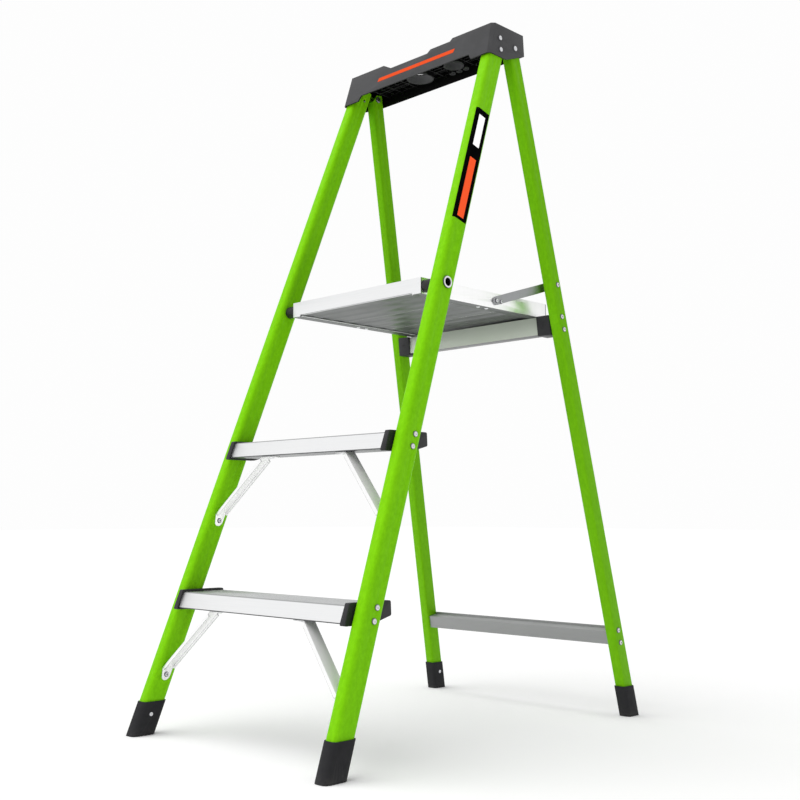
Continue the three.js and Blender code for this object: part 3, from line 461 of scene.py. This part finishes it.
def printed_film(name, tone, glow=0.0):
    """Printed vinyl with a faint orange-peel surface; a given painted glow lifts its brightness."""
    finish = Finish(name, specular=0.0)
    # painted glow
    finish.shader.inputs["Emission Color"].default_value = (*tone, 1.0)
    finish.shader.inputs["Emission Strength"].default_value = glow
    peel = finish.noise(finish.place(), 0.0018, detail=2.0)
    rub = finish.noise(finish.place(), 0.010, detail=5.0, roughness=0.7)
    faded = tuple(0.9 * part + 0.003 for part in tone)
    finish.colour(finish.mix(finish.span(rub, 0.5, 0.75), tone, faded))
    finish.roughness(finish.span(rub, 0.35, 0.7, PRINT_ROUGHNESS - 0.04, PRINT_ROUGHNESS + 0.10))
    finish.bump(peel, 0.00003, 0.4)
    return finish.material


def floor_paint(name):
    """Plain pale studio floor."""
    finish = Finish(name, specular=0.0)
    finish.colour(FLOOR_COLOUR)
    finish.roughness(0.9)
    finish.shader.inputs["Emission Color"].default_value = (1.0, 1.0, 1.0, 1.0)
    finish.shader.inputs["Emission Strength"].default_value = FLOOR_GLOW
    return finish.material


# ------------------------------------------------------------------ reading the CAD
def node_points(node):
    """Corners of a CAD node's mesh."""
    return [vertex.co for vertex in NODES[node].data.vertices]


def rail_axis(node):
    """Unit vector up a rail, from the middle of its bottom end to the middle of its top end."""
    low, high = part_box(node)
    reach = 0.03
    ends = []
    for level in (low.z, high.z):
        near = [point for point in node_points(node) if abs(point.z - level) < reach]
        ends.append(sum(near, Vector()) / len(near))
    return (ends[1] - ends[0]).normalized()


def face_tree(node):
    """Search tree over a CAD node's faces."""
    return BVHTree.FromPolygons(
        node_points(node), [face.vertices[:] for face in NODES[node].data.polygons])


def surface_point(tree, start, direction):
    """Where a line from start first meets a node's faces, and the outward normal there."""
    place, normal, _, _ = tree.ray_cast(Vector(start), Vector(direction))
    return place, normal.normalized()


class RailSide:
    """Flat coordinates on the outer side of a rail: along it from the floor, and across from its front."""

    def __init__(self, node, side):
        low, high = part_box(node)
        middle = (low + high) / 2
        self.tree = face_tree(node)
        start = Vector((side * (abs(middle.x) + FAR), middle.y, middle.z))
        self.place, self.normal = surface_point(self.tree, start, (-side, 0, 0))
        self.along = rail_axis(node)
        self.across = self.along.cross(self.normal) * side
        self.front = min(point.dot(self.across) for point in node_points(node))

    def on_rail(self, along, across):
        """The rail's surface and its outward normal, that far up from the floor and back from its front."""
        base = self.place - self.across * (self.place.dot(self.across) - self.front - across)
        floor_run = base.z / self.along.z
        above = base + self.along * (along - floor_run) + self.normal * ABOVE_RAIL
        return surface_point(self.tree, above, -self.normal)


# ------------------------------------------------------------------ building pieces
def mesh_piece(name, shape, material, body):
    """Turn a bmesh into a piece that rides on a CAD body."""
    bmesh.ops.recalc_face_normals(shape, faces=shape.faces)
    mesh = bpy.data.meshes.new(name)
    shape.to_mesh(mesh)
    shape.free()
    mesh.materials.append(material)
    piece = bpy.data.objects.new(name, mesh)
    bpy.context.scene.collection.objects.link(piece)
    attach(piece, body)
    return piece


def smooth(piece):
    """Smooth shading across all but the sharp edges."""
    piece.data.polygons.foreach_set("use_smooth", [True] * len(piece.data.polygons))
    piece.data.set_sharp_from_angle(angle=math.radians(SHARP_ANGLE_DEG))


def plate(shape, corners, normal, thickness):
    """Add a flat plate with these corners to a bmesh, thickened along normal."""
    lower = [shape.verts.new(corner) for corner in corners]
    upper = [shape.verts.new(corner + normal * thickness) for corner in corners]
    shape.faces.new(lower)
    shape.faces.new(upper)
    count = len(corners)
    for i in range(count):
        shape.faces.new((lower[i], lower[(i + 1) % count], upper[(i + 1) % count], upper[i]))


def block(shape, low, high):
    """Add an axis-aligned block to a bmesh."""
    corners = [
        Vector((low[0], low[1], low[2])), Vector((high[0], low[1], low[2])),
        Vector((high[0], high[1], low[2])), Vector((low[0], high[1], low[2])),
    ]
    plate(shape, corners, Z_AXIS, high[2] - low[2])


def lathe(shape, profile, to_place):
    """Turn a profile of (radius, height) about Z and add it to a bmesh, closed at both ends."""
    rings = []
    for radius, height in profile:
        ring = []
        for i in range(ROUND_SIDES):
            angle = 2 * math.pi * i / ROUND_SIDES
            point = Vector((radius * math.cos(angle), radius * math.sin(angle), height))
            ring.append(shape.verts.new(to_place @ point))
        rings.append(ring)
    for lower, upper in zip(rings, rings[1:]):
        for i in range(ROUND_SIDES):
            j = (i + 1) % ROUND_SIDES
            shape.faces.new((lower[i], lower[j], upper[j], upper[i]))
    shape.faces.new(rings[0])
    shape.faces.new(rings[-1])


def head_profile(radius, rise):
    """Domed blind-rivet head with the dimple its mandrel leaves."""
    return [
        (radius * 0.98, 0.0), (radius, rise * 0.18), (radius * 0.93, rise * 0.50),
        (radius * 0.78, rise * 0.76), (radius * 0.60, rise * 0.92), (radius * 0.40, rise),
        (radius * 0.36, rise * 0.95), (radius * 0.12, rise * 0.50),
    ]


def standing_on(place, normal):
    """Transform that puts a turned piece's foot at a place, with its axis along normal."""
    return Matrix.Translation(place) @ normal.to_track_quat("Z", "Y").to_matrix().to_4x4()


def rivet(name, node, start, direction, body, size):
    """Rivet head on the surface that a line from start meets; its size is a radius and a rise."""
    place, normal = surface_point(face_tree(node), start, direction)
    shape = bmesh.new()
    lathe(shape, head_profile(*size), standing_on(place + normal * LIFT, normal))
    finish = FINISHES["zinc_under_deck"] if abs(normal.z) > 0.7 else FINISHES["zinc"]
    smooth(mesh_piece(name, shape, finish, body))


# ------------------------------------------------------------------ finishes on the CAD nodes
def shell_group(name, edge_angle_deg=None):
    """Geometry nodes that weld the shell, or that mark its edges sharp above an angle."""
    group = bpy.data.node_groups.new(name, "GeometryNodeTree")
    group.interface.new_socket("Geometry", in_out="INPUT", socket_type="NodeSocketGeometry")
    group.interface.new_socket("Geometry", in_out="OUTPUT", socket_type="NodeSocketGeometry")
    source = group.nodes.new("NodeGroupInput")
    target = group.nodes.new("NodeGroupOutput")
    normals = group.nodes.new("GeometryNodeSetMeshNormal")
    normals.mode = "SHARPNESS"
    normals.inputs["Remove Custom"].default_value = True
    geometry = source.outputs["Geometry"]
    if edge_angle_deg is None:
        weld = group.nodes.new("GeometryNodeMergeByDistance")
        weld.inputs["Distance"].default_value = WELD_GAP
        group.links.new(geometry, weld.inputs["Geometry"])
        geometry = weld.outputs["Geometry"]
    else:
        angle = group.nodes.new("GeometryNodeInputMeshEdgeAngle")
        sharp = group.nodes.new("FunctionNodeCompare")
        sharp.operation = "GREATER_THAN"
        sharp.inputs["B"].default_value = math.radians(edge_angle_deg)
        group.links.new(angle.outputs["Unsigned Angle"], sharp.inputs["A"])
        group.links.new(sharp.outputs["Result"], normals.inputs["Edge Sharpness"])
    group.links.new(geometry, normals.inputs["Mesh"])
    group.links.new(normals.outputs["Mesh"], target.inputs["Geometry"])
    return group


def round_edges(node, weld, sharpen):
    """Weld a CAD node's shell, round its sharp edges and smooth its curved faces."""
    piece = NODES[node]
    piece.modifiers.new("weld", "NODES").node_group = weld
    bevel = piece.modifiers.new("edges", "BEVEL")
    bevel.width = EDGE_BEVEL
    bevel.segments = 2
    bevel.limit_method = "ANGLE"
    bevel.angle_limit = math.radians(SHARP_ANGLE_DEG)
    bevel.use_clamp_overlap = True
    piece.modifiers.new("shading", "NODES").node_group = sharpen


def finish_for(node):
    """The finish that a CAD node takes, by what it is."""
    if "rail" in node:
        # the rear rails take a lower tone, painted shade
        tone = REAR_RAIL_PAINTED_SHADE if "rear" in node else 1.0
        return fibreglass(f"fibreglass_{node}", rail_axis(node), tone)
    if "boot" in node:
        return FINISHES["rubber"]
    if "rivet" in node or "pin" in node or "tube" in node:
        return FINISHES["zinc"]
    if node == "top_cap":
        return FINISHES["moulding"]
    if "bracket" in node or "spacer" in node or "crossbar_cap" in node:
        return FINISHES["black_plastic"]
    for word, name in (("knee", "brace"), ("link", "link"), ("lower_brace", "lower_brace"),
                       ("crossbar", "crossbar"), ("step_1", "tread_1"), ("step_2", "tread_2"),
                       ("plank", "plank"), ("front_plate", "nose_plate"),
                       ("rear_plate", "nose_plate")):
        if word in node:
            return FINISHES[name]
    return FINISHES["platform_side"]


def front_edges(node):
    """Heights between which the front face of a tread is plain."""
    low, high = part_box(node)
    return low.z + HEM, high.z - BROW


def hollow_of(node):
    """Corners of the room inside a moulding that is open below, between its walls and its tray."""
    low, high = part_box(node)
    return low + Vector(HOLLOW_FROM_LOW), high - Vector(HOLLOW_FROM_HIGH)


def tool_bores():
    """Axis and radius of each tool hole in the top."""
    bores = []
    for opening in frame["record"]["physics"]["openings"]:
        if opening["name"] in TOOL_BORES:
            low, high = opening["box_m"]
            bores.append(((low[0] + high[0]) / 2, (low[1] + high[1]) / 2, TOOL_BORES[opening["name"]]))
    return bores


FINISHES = {
    "rubber": boot_rubber("rubber_boots"),
    "zinc": zinc_plate("zinc_rivets", X_AXIS, ZINC_SHADE),
    "zinc_under_deck": zinc_plate("zinc_rivets_under_deck", Z_AXIS, ZINC),
    "moulding": moulded_plastic(
        "charcoal_top", CHARCOAL, specular=0.12, hollow=hollow_of("top_cap"), bores=tool_bores()),
    "black_plastic": moulded_plastic("black_brackets", BLACK, roughness=0.48),
    "brace": pressed_aluminium(
        "pressed_braces", BRACE_METAL, shaded=BRACE_SHADE, shaded_metallic=0.0, edge=CUT_EDGE),
    "link": pressed_aluminium("link_metal", LINK_METAL),
    "lower_brace": extruded_aluminium("rear_brace_metal", REAR_METAL, REAR_METAL, metallic=0.25),
    "crossbar": extruded_aluminium("crossbar_metal", CROSSBAR_PAINTED_SHADED_BACK, CROSSBAR_PAINTED_LIT_FRONT, metallic=0.15),
    "tread_1": extruded_aluminium(
        "tread_1_metal", PAINTED_SHADED_METAL, top=TREAD_TOP_PAINTED_LIGHT, edges=front_edges("step_1")),
    "tread_2": extruded_aluminium(
        "tread_2_metal", PAINTED_SHADED_METAL, top=TREAD_TOP_PAINTED_LIGHT, edges=front_edges("step_2")),
    "plank": extruded_aluminium("deck_metal", DECK_PAINTED_SHADE, sheen=0.65),
    "nose_plate": extruded_aluminium("deck_nose_metal", PAINTED_SHADED_METAL, sheen=0.6),
    "platform_side": pressed_aluminium(
        "deck_side_metal", BRACE_METAL, shaded=DECK_PAINTED_SHADE, toward=-Z_AXIS, sheen=0.6),
}


def dress_nodes():
    """Give every CAD node its finish and its rounded edges."""
    weld = shell_group("weld_shell")
    sharpen = shell_group("sharpen_by_angle", SHARP_ANGLE_DEG)
    for node, piece in NODES.items():
        piece.material_slots[0].material = finish_for(node)
        round_edges(node, weld, sharpen)


# ------------------------------------------------------------------ fittings
def boot_rivets():
    """One rivet through the inboard face of each boot."""
    for end, body in (("front", "front_frame"), ("rear", "rear_frame")):
        for word, side in SIDES:
            node = f"{end}_boot_{word}"
            low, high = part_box(node)
            middle = (low + high) / 2
            start = (0, middle.y, low.z + BOOT_RIVET_LEVEL * (high.z - low.z))
            rivet(f"{node}_rivet", node, start, (side, 0, 0), body, BOOT_RIVET)


def brace_rivets():
    """The rivets that hold each knee brace's tabs to the rail and under the tread."""
    for number in (1, 2):
        for word, side in SIDES:
            node = f"knee_brace_{number}_{word}"
            low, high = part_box(node)
            start = (0, low.y + BRACE_FOOT[0], low.z + BRACE_FOOT[1])
            rivet(f"{node}_rivet", node, start, (side, 0, 0), "front_frame", BRACE_RIVET)
            inboard = min(abs(low.x), abs(high.x))
            x = side * (inboard + BRACE_TREAD_TAB[0])
            under = (x, high.y - BRACE_TREAD_TAB[1], high.z - UNDER_TAB)
            rivet(f"{node}_tread_rivet", node, under, (0, 0, 1), "front_frame", BRACE_RIVET)


def rear_rail_rivets():
    """Heads on the rear rails' outer faces: crossbar, lower brace and side link.

    Each spot is a y and a z, measured from the box of the piece that the rivet holds.
    """
    crossbar_low, crossbar_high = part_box("rear_crossbar")
    brace_low, brace_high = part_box("lower_brace")
    for word, side in SIDES:
        _, link_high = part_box(f"link_{word}")
        spots = {
            "crossbar_1": (crossbar_low.y + 0.0100, crossbar_high.z - 0.0045),
            "crossbar_2": (crossbar_low.y + 0.0152, crossbar_low.z + 0.0074),
            "brace_1": (brace_low.y + 0.0091, brace_high.z - 0.0063),
            "brace_2": (brace_low.y + 0.0148, brace_low.z + 0.0048),
            "link": (link_high.y - 0.0090, link_high.z - 0.0089),
        }
        rail = f"rear_rail_{word}"
        for spot, (y, z) in spots.items():
            start = (side * 2 * FAR, y, z)
            rivet(f"{rail}_rivet_{spot}", rail, start, (-side, 0, 0), "rear_frame", RAIL_RIVET)


def deck_rivets():
    """Two rivets under each side flange of the platform."""
    for word, side in SIDES:
        node = f"platform_side_{word}"
        low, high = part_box(node)
        x = side * (max(abs(low.x), abs(high.x)) - DECK_RIVET_INSET)
        for number, run in enumerate(DECK_RIVET_RUNS, 1):
            start = (x, low.y + run, low.z - FAR)
            rivet(f"{node}_rivet_{number}", node, start, (0, 0, 1), "platform", DECK_RIVET)


def link_studs():
    """The second stud on each side link, behind its pin."""
    for word, side in SIDES:
        low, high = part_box(f"link_pin_{word}")
        middle = (low + high) / 2
        start = (side * FAR, middle.y + LINK_STUD_AWAY[0], middle.z + LINK_STUD_AWAY[1])
        link = f"link_{word}"
        rivet(f"{link}_stud", link, start, (-side, 0, 0), link, LINK_STUD)


def curved_film(name, face, along, across, lift, tone, glow=0.0):
    """Thin film that follows the section of a rail's side, with slanted ends."""
    shape = bmesh.new()
    rows = []
    for i in range(FILM_STRIPS + 1):
        offset = across[0] + (across[1] - across[0]) * i / FILM_STRIPS
        drop = LABEL_SLANT * (offset - LABEL_ACROSS[0])
        row = []
        for height in along:
            place, normal = face.on_rail(height - drop, offset)
            row.append((shape.verts.new(place + normal * lift),
                        shape.verts.new(place + normal * (lift + FILM))))
        rows.append(row)
    for (low_a, high_a), (low_b, high_b) in zip(rows, rows[1:]):
        shape.faces.new((low_a[1], low_b[1], high_b[1], high_a[1]))
        shape.faces.new((low_a[0], high_a[0], high_b[0], low_b[0]))
        shape.faces.new((low_a[0], low_b[0], low_b[1], low_a[1]))
        shape.faces.new((high_a[0], high_a[1], high_b[1], high_b[0]))
    for low, high in (rows[0], rows[-1]):
        shape.faces.new((low[0], low[1], high[1], high[0]))
    film = printed_film(f"print_{name}", tone, glow=glow)
    smooth(mesh_piece(name, shape, film, "front_frame"))


def rail_label():
    """Plain black label with two solid bars on the right front rail."""
    face = RailSide("front_rail_right", 1)
    curved_film("rail_label", face, LABEL_ALONG, LABEL_ACROSS, LIFT, LABEL_BLACK)
    for name, along, across, tone in LABEL_BARS:
        curved_film(name, face, along, across, LIFT + FILM, tone, LABEL_PAINTED_GLOW)


def cap_bar():
    """Plain orange bar on the climbing side of the top."""
    tree = face_tree("top_cap")
    corners = []
    for x, z in ((-1, 0), (1, 0), (1, 1), (-1, 1)):
        start = (x * CAP_BAR_HALF + CAP_BAR_SLANT * z, -FAR, CAP_BAR_Z[z])
        place, normal = surface_point(tree, start, (0, 1, 0))
        corners.append(place + normal * LIFT)
    shape = bmesh.new()
    plate(shape, corners, normal, FILM)
    mesh_piece("top_bar", shape, printed_film("print_top_bar", ACCENT), "front_frame")


def runs_between_bores(axis, line, start, end):
    """Stretches of a rib that stay outside the tool holes.

    The rib stands at line on that axis, 0 for X or 1 for Y, and runs from start to end on the other.
    """
    stretches = []
    for bore in sorted(tool_bores(), key=lambda bore: bore[1 - axis]):
        aside = abs(line - bore[axis])
        reach = bore[2] + BORE_WALL
        if aside < reach:
            half = math.sqrt(reach ** 2 - aside ** 2)
            stretches.append((start, bore[1 - axis] - half))
            start = max(start, bore[1 - axis] + half)
    stretches.append((start, end))
    return [(low, high) for low, high in stretches if high > low]


def cap_ribs():
    """Fine stiffening ribs between the main ones, under the tray."""
    low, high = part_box("top_cap")
    shape = bmesh.new()
    front = low.y + FINE_RIBS_INSET[0]
    back = high.y - FINE_RIBS_INSET[1]
    ceiling = high.z - FINE_RIBS_BELOW[0]
    floor = high.z - FINE_RIBS_BELOW[1]
    half_rib = RIB_THICKNESS / 2
    count = int(FINE_RIBS_HALF / RIB_PITCH[0])
    for i in range(-count, count + 1):
        x = i * RIB_PITCH[0]
        for start, end in runs_between_bores(0, x, front, back):
            block(shape, (x - half_rib, start, floor), (x + half_rib, end, ceiling))
    rows = int((back - front) / RIB_PITCH[1])
    for i in range(rows + 1):
        y = front + FINE_ROWS_START + i * RIB_PITCH[1]
        for start, end in runs_between_bores(1, y, -FINE_RIBS_HALF, FINE_RIBS_HALF):
            block(shape, (start, y - half_rib, floor), (end, y + half_rib, ceiling))
    mesh_piece("tray_fine_ribs", shape, FINISHES["moulding"], "front_frame")


def cap_dimples():
    """Round sink mark on the climbing side of each crossbar end cap."""
    for word, side in SIDES:
        node = f"crossbar_cap_{word}"
        low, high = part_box(node)
        middle = (low + high) / 2
        start = (middle.x, low.y - FAR, middle.z + SINK_MARK_ABOVE)
        place, normal = surface_point(face_tree(node), start, (0, 1, 0))
        shape = bmesh.new()
        lathe(shape, SINK_MARK, standing_on(place, normal))
        smooth(mesh_piece(f"{node}_dimple", shape, FINISHES["black_plastic"], "rear_frame"))


# ------------------------------------------------------------------ studio
def add_camera():
    data = bpy.data.cameras.new("camera")
    data.lens = CAMERA_LENS_MM
    data.sensor_width = CAMERA_SENSOR_MM
    data.shift_x, data.shift_y = CAMERA_SHIFT
    data.clip_start = 0.05
    camera = bpy.data.objects.new("camera", data)
    camera.location = CAMERA_PLACE
    camera.rotation_euler = Euler([math.radians(angle) for angle in CAMERA_TURN_DEG])
    bpy.context.scene.collection.objects.link(camera)
    bpy.context.scene.camera = camera


def add_key_light():
    """Broad soft sun, unseen by mirror-like surfaces."""
    data = bpy.data.lights.new("key", "SUN")
    data.energy = KEY_STRENGTH
    data.angle = math.radians(KEY_SPREAD_DEG)
    lamp = bpy.data.objects.new("key", data)
    lamp.visible_glossy = False
    lamp.rotation_mode = "QUATERNION"
    lamp.rotation_quaternion = Vector(KEY_FROM).to_track_quat("Z", "Y")
    bpy.context.scene.collection.objects.link(lamp)


def add_sky():
    """Even white sky, dimmer in the light it gives to matt surfaces than where it is seen."""
    world = bpy.data.worlds.new("studio")
    world.use_nodes = True
    world.cycles.sampling_method = "NONE"
    tree = world.node_tree
    path = tree.nodes.new("ShaderNodeLightPath")
    seen = tree.nodes.new("ShaderNodeMath")
    seen.operation = "MAXIMUM"
    tree.links.new(path.outputs["Is Camera Ray"], seen.inputs[0])
    tree.links.new(path.outputs["Is Glossy Ray"], seen.inputs[1])
    strength = tree.nodes.new("ShaderNodeMapRange")
    tree.links.new(seen.outputs["Value"], strength.inputs["Value"])
    strength.inputs["To Min"].default_value = SKY
    strength.inputs["To Max"].default_value = BACKGROUND
    light = tree.nodes["Background"]
    light.inputs["Color"].default_value = (1.0, 1.0, 1.0, 1.0)
    tree.links.new(strength.outputs["Result"], light.inputs["Strength"])
    bpy.context.scene.world = world


def add_floor():
    """Wide pale floor, kept apart from the part."""
    shape = bmesh.new()
    corners = [(-1, -1), (1, -1), (1, 1), (-1, 1)]
    shape.faces.new([shape.verts.new((x * FLOOR_HALF, y * FLOOR_HALF, FLOOR_LEVEL)) for x, y in corners])
    mesh = bpy.data.meshes.new("studio_floor")
    shape.to_mesh(mesh)
    shape.free()
    mesh.materials.append(floor_paint("floor"))
    floor = bpy.data.objects.new("studio_floor", mesh)
    bpy.context.scene.collection.objects.link(floor)


bpy.context.scene.view_settings.view_transform = "Standard"
add_camera()
add_sky()
add_key_light()
add_floor()
dress_nodes()
boot_rivets()
brace_rivets()
rear_rail_rivets()
deck_rivets()
link_studs()
rail_label()
cap_bar()
cap_ribs()
cap_dimples()
